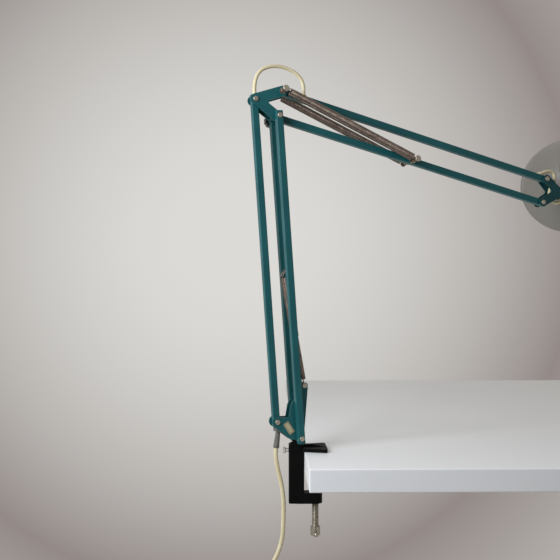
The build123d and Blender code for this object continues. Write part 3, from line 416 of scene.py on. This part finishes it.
# Label plate.
# A bare cream lacquered aluminium plate, stuck to the bracket's near cheek.
# A thin raised line of brown lacquer runs round it, just inside its edge.
# Cream lacquer: a slightly yellowed satin coat with rubbed patches.
cream_lacquer = uneven("cream_lacquered_aluminium", ("#C9BF9A", "#B3A984"), 5, (0.34, 0.5), 0.7, 0.02)
LABEL_LONG = 18.0
LABEL_WIDE = 8.6
LABEL_THICK = 0.4
LABEL_TURN = math.radians(56)
RIM_INSET = 0.7
RIM_WIDE = 0.6
RIM_RISE = 0.12
axes = {joint["name"]: Vector(joint["axis"]) for joint in frame["joints"]}
UP = Vector((0, 0, 1))
ACROSS = axes["lower_arm"]
AHEAD = ACROSS.cross(UP)
dress("label_plate", cream_lacquer)
label_low, label_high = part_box("label_plate")
label_middle = (label_low + label_high) / 2
label_along = AHEAD * math.cos(LABEL_TURN) - UP * math.sin(LABEL_TURN)
label_over = AHEAD * math.sin(LABEL_TURN) + UP * math.cos(LABEL_TURN)
rim_section = [(RIM_INSET, -RIM_RISE), (RIM_INSET, RIM_RISE), (RIM_INSET + RIM_WIDE, RIM_RISE),
               (RIM_INSET + RIM_WIDE, -RIM_RISE)]
rim_points, rim_faces = [], []
for right, top in ((1, 1), (-1, 1), (-1, -1), (1, -1)):
    for inset, rise in rim_section:
        rim_points.append(label_middle + (label_along * right * (LABEL_LONG / 2 - inset)
                                          + label_over * top * (LABEL_WIDE / 2 - inset)
                                          - ACROSS * (LABEL_THICK / 2 + rise)) * MM)
for i in range(4):
    for k in range(4):
        ahead, beside = (i + 1) % 4 * 4, (k + 1) % 4
        rim_faces.append((i * 4 + k, i * 4 + beside, ahead + beside, ahead + k))
# Brown lacquer: a thin satin line along the plate's edge, worn lighter in places.
brown_lacquer = uneven("brown_lacquer", ("#3E3227", "#5A4A3A"), 3, (0.4, 0.55), 0.7, 0.01)
add_piece("label_rim", (rim_points, rim_faces), brown_lacquer, "bracket")

# Lower arm tubes.
# Three square steel tubes of 10 mm, drawn with small corner radii, drilled and stove enamelled teal.
# The cross pin of the springs is pressed flush into the front pair and enamelled with it.
for tube_name in ("lower_rear_tube", "lower_near_tube", "lower_far_tube"):
    dress(tube_name, teal)
dress("lower_spring_top_pin", teal)

# Lower balance springs.
# Two tension springs close wound from 1.4 mm drawn wire, side by side between the front tubes.
# They hook on the cross pin above, and rods from the bracket's horn are screwed into their tails.
WIRE = 1.4
SPRING_R = 3.6
HOOK_R = 2.8
SPRING_PITCH = 1.47
SPRING_LEAD = 9.0
SPRING_STEP = 9.0
LOWER_TAIL = 9.0
LOWER_ASIDE = -5.0
HOOK_STEPS = 18
HOOK_HALF_TURNS = 1.5
LEAD_SHARES = (0.35, 0.7)
POINTS_PER_TURN = 14
WIRE_SIDES = 8
WIRE_SHARP = 60
pivots = {joint["name"]: Vector(joint["pos_m"]) for joint in frame["joints"] if "pos_m" in joint}


def sweep(line, radius, sides=10):
    """Round tube along a line of points in metres, closed at both ends; radius may follow the line."""
    points, faces = [], []
    ahead = (line[1] - line[0]).normalized()
    side = ahead.orthogonal().normalized()
    for i, middle in enumerate(line):
        chord = (line[min(i + 1, len(line) - 1)] - line[max(i - 1, 0)]).normalized()
        side = ahead.rotation_difference(chord) @ side
        ahead = chord
        side = (side - ahead * side.dot(ahead)).normalized()
        other = ahead.cross(side)
        reach = radius(i / (len(line) - 1)) if callable(radius) else radius
        for k in range(sides):
            angle = 2 * math.pi * k / sides
            points.append(middle + (side * math.cos(angle) + other * math.sin(angle)) * reach)
    for i in range(len(line) - 1):
        for k in range(sides):
            m = (k + 1) % sides
            faces.append((i * sides + k, i * sides + m, (i + 1) * sides + m, (i + 1) * sides + k))
    last = (len(line) - 1) * sides
    return points, [*faces, tuple(range(sides)), tuple(range(last + sides - 1, last - 1, -1))]


def spring_line(start, end, y_middle, tail, aside=0.0):
    """Wire's middle line: a hook round the pin at start, a straight lead, and close turns up to the tail.
    The turns begin to one side of the pin, by aside."""
    origin = start + ACROSS * y_middle * MM
    square = (end - start).normalized().cross(ACROSS)
    foot = origin + square * aside * MM
    along = (end + ACROSS * y_middle * MM - foot).normalized()
    square = along.cross(ACROSS)
    hand = -1 if aside < 0 else 1
    line = []
    for i in range(HOOK_STEPS + 1):
        angle = math.pi * (2 - HOOK_HALF_TURNS * i / HOOK_STEPS)
        line.append(origin + (along * math.cos(angle) + square * hand * math.sin(angle)) * HOOK_R * MM)
    for share in LEAD_SHARES:
        line.append(foot + (along * SPRING_LEAD * share + square * hand * SPRING_R * share) * MM)
    coil_long = (end - start).length / MM - SPRING_LEAD - tail
    steps = round(coil_long / SPRING_PITCH * POINTS_PER_TURN)
    for i in range(steps + 1):
        angle = 2 * math.pi * i / POINTS_PER_TURN
        turned = square * hand * math.cos(angle) + ACROSS * math.sin(angle)
        line.append(foot + (along * (SPRING_LEAD + coil_long * i / steps) + turned * SPRING_R) * MM)
    return line


# Drawn spring steel: brown-grey oiled wire that shines along the crest of each turn.
spring_steel = uneven("drawn_spring_steel", ("#8E7F74", "#6E6159"), 9, (0.42, 0.54), 1.0, 0.02, Metallic=1.0)
spring_top, horn = pivots["lower_spring_swing"], pivots["lower_rod_swing"]
lower_lines = [spring_line(spring_top, horn, side * SPRING_STEP / 2, LOWER_TAIL, LOWER_ASIDE)
               for side in (-1, 1)]
lower_coils = [sweep(line, WIRE / 2 * MM, WIRE_SIDES) for line in lower_lines]
lower_springs = add_piece("lower_spring_coils", joined(*lower_coils), spring_steel,
                          "lower_springs", WIRE_SHARP)
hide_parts("lower_springs")
dress("lower_spring_rods", spring_steel)

# Elbow.
# Two plates punched from 1.5 mm sheet carry the ends of both arms on shouldered studs and one long bolt.
# They are enamelled with the tubes, and dark washers keep them apart.
dress("elbow_plates", teal)
for part_name in ("elbow_bolt", "elbow_studs"):
    dress(part_name, steel)
dress("elbow_washers", dark_steel)

# Friction knob.
# A fluted knob moulded in black phenolic on a steel insert, on the far end of the elbow's long bolt.
KNOB_EDGE = 0.4
# Black phenolic: a hard dark moulding with a dull polish.
phenolic = uneven("black_phenolic", ("#151413", "#1D1B1A"), 12, (0.30, 0.42), 0.9, 0.02)
dress("friction_knob", phenolic, KNOB_EDGE)

# Upper arm tubes.
# Two more 10 mm square tubes: the top one carries the cable, through soft bushes at its two holes,
# and the bottom one takes the pull of the springs through a bolt with two sleeves.
for tube_name in ("upper_top_tube", "upper_bottom_tube"):
    dress(tube_name, teal)
dress("upper_spring_bolt", steel)
dress("spring_bolt_sleeves", steel)

# Upper balance springs.
# Two pairs of the same springs, hooked on the elbow's upper studs and on the bottom tube's bolt.
# Each ends in a steel eye whose shank is screwed into the tail of the coil.
EYE_TAIL = 7.0
SPRING_ROWS = (13.5, 22.5)
bolt_low, bolt_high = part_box("upper_spring_bolt")
spring_foot, spring_end = pivots["upper_spring_swing"], (bolt_low + bolt_high) / 2
for side, node_name in ((-1, "upper_springs_near"), (1, "upper_springs_far")):
    coils = [sweep(spring_line(spring_foot, spring_end, side * row, EYE_TAIL), WIRE / 2 * MM, WIRE_SIDES)
             for row in SPRING_ROWS]
    upper_pair = add_piece(node_name + "_coils", joined(*coils), spring_steel,
                           sharp=WIRE_SHARP)
    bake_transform(upper_pair)
    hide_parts(node_name)
dress("upper_spring_eyes", spring_steel)

# Head fork.
# Two Y-shaped plates like those of the elbow, screwed to a drilled steel block that the head turns in.
BLOCK_EDGE = 0.5
# Shaded teal enamel: a darker, duller copy of the tubes' teal coat, with rubbed rims; its darker colour is
# painted shade.
shaded_teal = uneven("shaded_teal_stove_enamel", ("#144A4E", "#103C40"), 30, (0.28, 0.40), 1.8, 0.014,
                   Specular_IOR_Level=0.2)
wear_edges(shaded_teal, "#6F8080", 0.6, 3)
# The fork plates take the darker copy of the teal as painted shade, for the head end of the arm, which lies
# in shade.
dress("fork_plates", shaded_teal)
for part_name in ("fork_studs", "fork_screws"):
    dress(part_name, steel)
dress("fork_washers", dark_steel)
dress("fork_block", black_casting, BLOCK_EDGE)

# Cable through the arms.
# A round two-core cable in cream PVC, 5.4 mm thick. It runs up inside the rear lower tube, loops over the
# elbow into the top tube, and comes out again at the fork in a second loop that enters the block.
CABLE_R = 2.7
CABLE_SIDES = 12
LOOP_SIDES = 14
SPLINE_STEPS = 8
CABLE_FOOT = (-27.1, 0, 32.0)
FOOT = Vector((pivots["base_swivel"].x, pivots["base_swivel"].y, 0))


def arm(x, y, z):
    """Point of the row frame from millimetres ahead of, across and above the swivel's foot."""
    return FOOT + (AHEAD * x + ACROSS * y + Vector((0, 0, z))) * MM


def route(name, points):
    """Curve object with one smooth open spline that takes the points as its controls."""
    data = bpy.data.curves.new(name, "CURVE")
    data.dimensions = "3D"
    spline = data.splines.new("NURBS")
    spline.points.add(len(points) - 1)
    for control, point in zip(spline.points, points):
        control.co = (*point, 1)
    spline.order_u = 3
    spline.use_endpoint_u = True
    spline.resolution_u = SPLINE_STEPS
    return bpy.data.objects.new(name, data)


def read_line(points):
    """Points along the smooth spline that the points control."""
    curve = route("cable_route", points)
    mesh = bpy.data.meshes.new_from_object(curve)
    line = [vertex.co.copy() for vertex in mesh.vertices]
    bpy.data.objects.remove(curve)
    bpy.data.meshes.remove(mesh)
    return line


# Cream PVC: a smooth flexible sheath, yellowed unevenly, with a soft sheen.
cream_pvc = uneven("cream_pvc", ("#E0D5B0", "#D3C59C"), 22, (0.34, 0.46), 1.4, 0.02)
dress("cable_grommets", cream_pvc)
lower_run = [arm(*CABLE_FOOT), arm(-28.2, 0, 38.0), arm(-29.9, 0, 52.0), arm(-62.79, 0, 507.41)]
lower_cable = add_piece("cable_in_lower_arm", sweep(lower_run, CABLE_R * MM, CABLE_SIDES), cream_pvc)
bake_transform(lower_cable)
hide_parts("lower_cable")
upper_run = [arm(9.5, 0, 506.8), arm(402.1, 0, 413.9)]
upper_cable = add_piece("cable_in_upper_arm", sweep(upper_run, CABLE_R * MM, CABLE_SIDES), cream_pvc,
                        "top_bar")
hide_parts("upper_cable")

elbow_controls = [(-62.8, 507.4), (-64.2, 526.0), (-54.0, 546.2), (-30.0, 553.6), (-3.0, 547.6),
                  (13.5, 530.0), (11.0, 511.6)]
elbow_line = read_line([arm(x, 0, z) for x, z in elbow_controls])
half = len(elbow_line) // 2
for piece_name, line, ends in (("elbow_cable_lower_half", elbow_line[:half + 1], ("rear_bar", "elbow")),
                               ("elbow_cable_upper_half", elbow_line[half:], ("elbow", "top_bar"))):
    cable = add_piece(piece_name, sweep(line, CABLE_R * MM, LOOP_SIDES), cream_pvc)
    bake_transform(cable)
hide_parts("elbow_cable")

head_controls = [(413.4, 416.4), (424.5, 423.0), (442.5, 423.0), (442.0, 403.0), (434.0, 397.9),
                 (430.7, 376.3), (449.4, 370.5), (457.0, 382.0), (469.3, 382.0)]
head_line = read_line([arm(x, 0, z) for x, z in head_controls])
head_cable = add_piece("head_cable_loop", sweep(head_line, CABLE_R * MM, LOOP_SIDES), cream_pvc)
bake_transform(head_cable)
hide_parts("head_cable")

# Head swivel.
# A hollow steel stud turns in the fork's block under a nut, and carries a two-eared knuckle.
# The shade's lug tilts between the ears on a bolt, and a wing nut sets how stiffly.
WING_EDGE = 0.5
for part_name in ("swivel_stud", "tilt_knuckle", "tilt_bolt"):
    dress(part_name, steel)
dress("wing_nut", steel, WING_EDGE)

# Lamp holder cup and shade.
# A drawn cup holds the lamp holder, and a spun aluminium bell with a rolled rim is pressed over its mouth.
# Both are stove enamelled grey outside, and the bell is white inside.
AXIS_UP = 33.5
CUP_FRONT = 18.0
CUP_R = 20.0
COLLAR = 12.0
COLLAR_IN_R = CUP_R + 0.05
COLLAR_OUT_R = CUP_R + 1.05
SHADE_WALL = 1.0
SHADE_R = 85.5
SHADE_RIM = 95.0
SHADE_BULGE = 13.0
BEAD_R = 1.6
BEAD_FROM = -0.35
BEAD_TURN = 1.55
BEAD_STEPS = 12
SHADE_STEPS = 28
SHADE_SIDES = 144
WHITE_END = 1.2
side_axis = axes["head_tilt"]
beam = axes["switch_press"]
beam_up = beam.cross(side_axis)
head_axis = pivots["head_tilt"] + beam_up * AXIS_UP * MM


def on_beam(along, across, up):
    return head_axis + (beam * along + side_axis * across + beam_up * up) * MM


# Grey stove enamel: a plain satin grey with a faint warm drift and a fine orange-peel skin.
grey_enamel = uneven("grey_stove_enamel", ("#8A867F", "#827E77"), 90, (0.36, 0.44), 1.6, 0.012)
# White stove enamel: a bright reflector coat, slightly warm.
white_enamel = uneven("white_stove_enamel", ("#ECEAE4", "#E4E1DA"), 60, (0.38, 0.46), 1.6, 0.012)


def bell_arc(inset):
    """Bulging arc of the bell from its throat to its rim, drawn in by the wall when inset."""
    start, end = Vector((CUP_FRONT, COLLAR_OUT_R - inset)), Vector((SHADE_RIM, SHADE_R - inset))
    chord = end - start
    outward = Vector((-chord.y, chord.x)).normalized()
    radius = (chord.length ** 2 / 4 + SHADE_BULGE ** 2) / (2 * SHADE_BULGE)
    centre = (start + end) / 2 - outward * (radius - SHADE_BULGE)
    half_turn = math.asin(chord.length / (2 * radius))
    arc = []
    for i in range(SHADE_STEPS + 1):
        turn = half_turn * (1 - 2 * i / SHADE_STEPS)
        arc.append(centre + outward * radius * math.cos(turn) - chord.normalized() * radius * math.sin(turn))
    return [tuple(point) for point in arc]


outer, inner = bell_arc(0), bell_arc(SHADE_WALL)
bead = [(SHADE_RIM + BEAD_R * math.sin(a), SHADE_R + BEAD_R * math.cos(a))
        for a in [math.pi * (BEAD_FROM + BEAD_TURN * i / BEAD_STEPS) for i in range(BEAD_STEPS + 1)]]
bell = [(CUP_FRONT - COLLAR, COLLAR_IN_R), (CUP_FRONT - COLLAR, COLLAR_OUT_R), *outer[:-1], *bead,
        *inner[-2::-1], (CUP_FRONT, COLLAR_IN_R)]
bell_shape = lathe(bell, on_beam, SHADE_SIDES, closed=True)
shade = add_piece("spun_shade", bell_shape, grey_enamel, "head")
shade.data.materials.append(white_enamel)
for polygon in shade.data.polygons:
    middle = polygon.center - head_axis
    out = middle - beam * middle.dot(beam)
    inside = middle.dot(beam) > CUP_FRONT * MM and polygon.normal.dot(out) < 0
    if inside and out.length < (SHADE_R - WHITE_END) * MM:
        polygon.material_index = 1
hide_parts("shade")
dress("holder_cup", grey_enamel)

# Lamp holder and bulb.
# A glazed porcelain holder with a ribbed skirt takes a screw-capped bulb of opal blown glass.
# Glazed porcelain: a hard white gloss over an even body.
porcelain = uneven("glazed_porcelain", ("#E9E6DF", "#E1DDD4"), 30, (0.12, 0.2), 3.0, 0.02)
dress("lamp_holder", porcelain)
# Rolled aluminium cap: a pale soft metal.
cap_metal = uneven("rolled_aluminium", ("#C4C3BF", "#AFAEAA"), 6, (0.28, 0.4), 0.8, 0.02, Metallic=1.0)
dress("bulb_cap", cap_metal)
# Opal glass: a smooth white bulb that lets light through and hides its filament.
opal = uneven("opal_glass", ("#F2F0EA", "#ECE9E2"), 30, (0.12, 0.18), 4.0, 0.01,
              Transmission_Weight=0.25, IOR=1.5)
dress("bulb_glass", opal)

# Switch.
# A push button moulded in black phenolic, in the back of the cup.
# It slides in the cup's hole and presses on the switch inside the lamp holder.
dress("switch_button", phenolic)

# Strain relief and clip.
# A grey rubber sleeve, slightly wider at its mouth, guards the cord below the rear tube.
# It is gripped by a grey clip between the bracket's cheeks.
SLEEVE_LONG = 28.0
SLEEVE_TOP_R = 3.1
SLEEVE_MOUTH_R = 4.3
SLEEVE_LEAN = math.radians(7.0)
SLEEVE_STEPS = 14
SLEEVE_SIDES = 40
TOP_EASE = 0.5
MOUTH_START = 1.3
MOUTH_SINK = 0.6
CORD_R = 3.2
sleeve_dir = AHEAD * -math.sin(SLEEVE_LEAN) + Vector((0, 0, -math.cos(SLEEVE_LEAN)))
sleeve_side = sleeve_dir.cross(ACROSS)
sleeve_top = arm(*CABLE_FOOT)


def on_sleeve(along, across, up):
    return sleeve_top + (sleeve_dir * along + ACROSS * across + sleeve_side * up) * MM


# Grey rubber: a dull mid-grey moulding, softly worn.
grey_rubber = uneven("grey_rubber", ("#67645F", "#5B5853"), 10, (0.5, 0.62), 0.8, 0.03)
sleeve_outline = [(0, 0), (0, SLEEVE_TOP_R - TOP_EASE), (TOP_EASE, SLEEVE_TOP_R)]
for i in range(1, SLEEVE_STEPS + 1):
    share = i / SLEEVE_STEPS
    sleeve_outline.append((TOP_EASE + (SLEEVE_LONG - MOUTH_START) * share,
                           SLEEVE_TOP_R + (SLEEVE_MOUTH_R - SLEEVE_TOP_R) * share))
sleeve_outline += [(SLEEVE_LONG - 0.2, SLEEVE_MOUTH_R - 0.3), (SLEEVE_LONG, SLEEVE_MOUTH_R - 0.7),
                   (SLEEVE_LONG - MOUTH_SINK, CORD_R - 0.2), (SLEEVE_LONG - MOUTH_SINK, 0)]
sleeve_shape = lathe(sleeve_outline, on_sleeve, SLEEVE_SIDES)
sleeve = add_piece("cord_strain_relief", sleeve_shape, grey_rubber, "bracket")
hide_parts("cord_sleeve")
dress("cord_clip", grey_rubber)

# Mains cord.
# A round cream PVC mains lead, 6.4 mm thick and 1.8 m long, that leaves the sleeve and hangs down.
# What isn't needed is wound into a neat two-layer coil, held by a strap, and its plug hangs below it.
COIL_R = 45.5
COIL_HALF_STEP = 3.5
COIL_HALF_TURNS = 7
COIL_MIDDLE = (-16.0, -230.4)
TAIL_START = 20
TAIL = 90.0
POINTS_PER_HALF = 8
drop = [(-30.5, 0, 4.3), (-31.6, 0, -4.6), (-28.6, 0, -24.0), (-22.2, 0, -48.0), (-19.0, 0, -74.0),
        (-19.6, 0, -101.0), (-20.6, 0, -125.0), (-30.8, 0.8, -153.6), (-50.9, 2.2, -176.4),
        (-61.5, 3.5, -204.8), (-61.5, 3.5, -224.0)]
radii = [COIL_R - COIL_HALF_STEP * k for k in range(COIL_HALF_TURNS)]
radii += [radii[-1] - COIL_HALF_STEP] + [radii[-1] + COIL_HALF_STEP * k for k in range(COIL_HALF_TURNS - 1)]
coil, edge_x = [], COIL_MIDDLE[0] - COIL_R
for turn, radius in enumerate(radii):
    sign = 1 if turn % 2 == 0 else -1
    for j in range(POINTS_PER_HALF):
        angle = math.pi * (j + 0.5) / POINTS_PER_HALF
        reach = radius / math.cos(math.pi / (2 * POINTS_PER_HALF))
        layer = 1 if turn < COIL_HALF_TURNS else -1
        if turn == COIL_HALF_TURNS:
            layer = 1 - 2 * (j + 0.5) / POINTS_PER_HALF
        coil.append((edge_x + sign * (radius - reach * math.cos(angle)), layer * COIL_HALF_STEP,
                     COIL_MIDDLE[1] - sign * reach * math.sin(angle)))
    edge_x += 2 * radius * sign
tail_top = (edge_x, -COIL_HALF_STEP, COIL_MIDDLE[1] - TAIL_START)
tail_end = (edge_x, -COIL_HALF_STEP, COIL_MIDDLE[1] - TAIL)
cord = route("mains_cord", [arm(*point) for point in [*drop, *coil, tail_top, tail_end]])
cord.data.bevel_depth = CORD_R * MM
cord.data.bevel_resolution = 4
cord.data.use_fill_caps = True
cord.data.materials.append(cream_pvc)
scene.collection.objects.link(cord)
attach(cord, "bracket")
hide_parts("cord_drop", "cord_coil")

# Coil strap.
# A strip of black rubber, 8 mm wide, wrapped once round the top of the coil.
# It is moulded flat with a stud near one end, which buttons through a hole in the other.
TIE_WIDE = 8.0
TIE_THICK = 0.9
TIE_HALF = 8.4
TIE_CORNER = 5.5
TIE_EASE = 0.25
STUD_R = 2.2
STUD_RISE = 0.9
STUD_SIDES = 24
tie_low, tie_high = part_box("cord_tie")
tie_middle = (tie_low + tie_high) / 2
tie_up = (tie_high.z - tie_low.z) / 2 / MM


def on_tie(along, across, up):
    return tie_middle + (AHEAD * along + ACROSS * across) * MM + Vector((0, 0, up * MM))


def strap_round(section, steps=6):
    """Loop of a strap round a rounded rectangle; section lists (along, depth below the outside)."""
    points, faces = [], []
    for corner in range(4):
        for i in range(steps + 1):
            angle = math.pi / 2 * (corner + i / steps)
            side = 1 if corner in (0, 3) else -1
            top = 1 if corner in (0, 1) else -1
            for along, depth in section:
                reach = TIE_CORNER - depth
                points.append(on_tie(along, side * (TIE_HALF - TIE_CORNER) + reach * math.cos(angle),
                                     top * (tie_up - TIE_CORNER) + reach * math.sin(angle)))
    rings, count = len(points) // len(section), len(section)
    for i in range(rings):
        j = (i + 1) % rings
        for k in range(count):
            m = (k + 1) % count
            faces.append((i * count + k, i * count + m, j * count + m, j * count + k))
    return points, faces


def on_stud(along, across, up):
    return on_tie(across, -TIE_HALF - along, up)


# Black rubber: a soft matt moulding that has greyed a little.
rubber = uneven("black_rubber", ("#1A1A1A", "#242322"), 6, (0.55, 0.7), 0.6, 0.03)
half_wide = TIE_WIDE / 2
band = strap_round([(-half_wide, TIE_THICK), (-half_wide, TIE_EASE), (TIE_EASE - half_wide, 0),
                    (half_wide - TIE_EASE, 0), (half_wide, TIE_EASE), (half_wide, TIE_THICK)])
stud = lathe([(-TIE_THICK / 2, 0), (-TIE_THICK / 2, STUD_R), (STUD_RISE * 0.4, STUD_R),
              (STUD_RISE * 0.85, STUD_R * 0.7), (STUD_RISE, 0)], on_stud, STUD_SIDES)
strap = add_piece("coil_strap", joined(band, stud), rubber, "bracket")
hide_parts("cord_tie")

# Plug.
# A flat two-pin plug moulded on to the lead in the same cream PVC.
# Its ribbed neck guards the cord, and its round pins are nickel plated brass.
PLUG_WIDE = 26.0
PLUG_THICK = 14.0
PLUG_LONG = 36.0
PLUG_NECK_R = 5.0
PLUG_NECK = 11.0
PLUG_FLARE = 9.0
PLUG_EASE = 1.2
NECK_RIBS = 4
RIB_DEPTH = 0.7
PLUG_ROWS = 72
PLUG_SIDES = 56
ROUND_POWER = 2
SQUARE_MORE = 2.2


def plug_section(down):
    """Half width, half thickness and squareness of the plug, some millimetres down from its neck."""
    swell = min(1.0, max(0.0, (down - PLUG_NECK) / PLUG_FLARE))
    swell = swell * swell * (3 - 2 * swell)
    wave = 0.5 - 0.5 * math.cos(2 * math.pi * NECK_RIBS * down / PLUG_NECK)
    rib = RIB_DEPTH * wave if down < PLUG_NECK else 0
    ease = max(0.0, down - PLUG_LONG + PLUG_EASE)
    draw = PLUG_EASE - math.sqrt(max(0.0, PLUG_EASE ** 2 - ease ** 2))
    neck = PLUG_NECK_R - rib
    return (neck + (PLUG_WIDE / 2 - neck) * swell - draw, neck + (PLUG_THICK / 2 - neck) * swell - draw,
            ROUND_POWER + SQUARE_MORE * swell)


points, faces = [], []
for i in range(PLUG_ROWS + 1):
    down = PLUG_LONG * i / PLUG_ROWS
    wide, thick, square = plug_section(down)
    for k in range(PLUG_SIDES):
        c, s = math.cos(2 * math.pi * k / PLUG_SIDES), math.sin(2 * math.pi * k / PLUG_SIDES)
        points.append(arm(tail_end[0] + math.copysign(abs(c) ** (2 / square), c) * wide,
                          tail_end[1] + math.copysign(abs(s) ** (2 / square), s) * thick,
                          tail_end[2] - down))
for i in range(PLUG_ROWS):
    for k in range(PLUG_SIDES):
        m = (k + 1) % PLUG_SIDES
        faces.append((i * PLUG_SIDES + k, i * PLUG_SIDES + m,
                      (i + 1) * PLUG_SIDES + m, (i + 1) * PLUG_SIDES + k))
last = PLUG_ROWS * PLUG_SIDES
faces += [tuple(range(PLUG_SIDES)), tuple(range(last, last + PLUG_SIDES))]
plug = add_piece("moulded_plug", (points, faces), cream_pvc, "bracket")
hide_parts("plug_body")
dress("plug_pins", nickel)
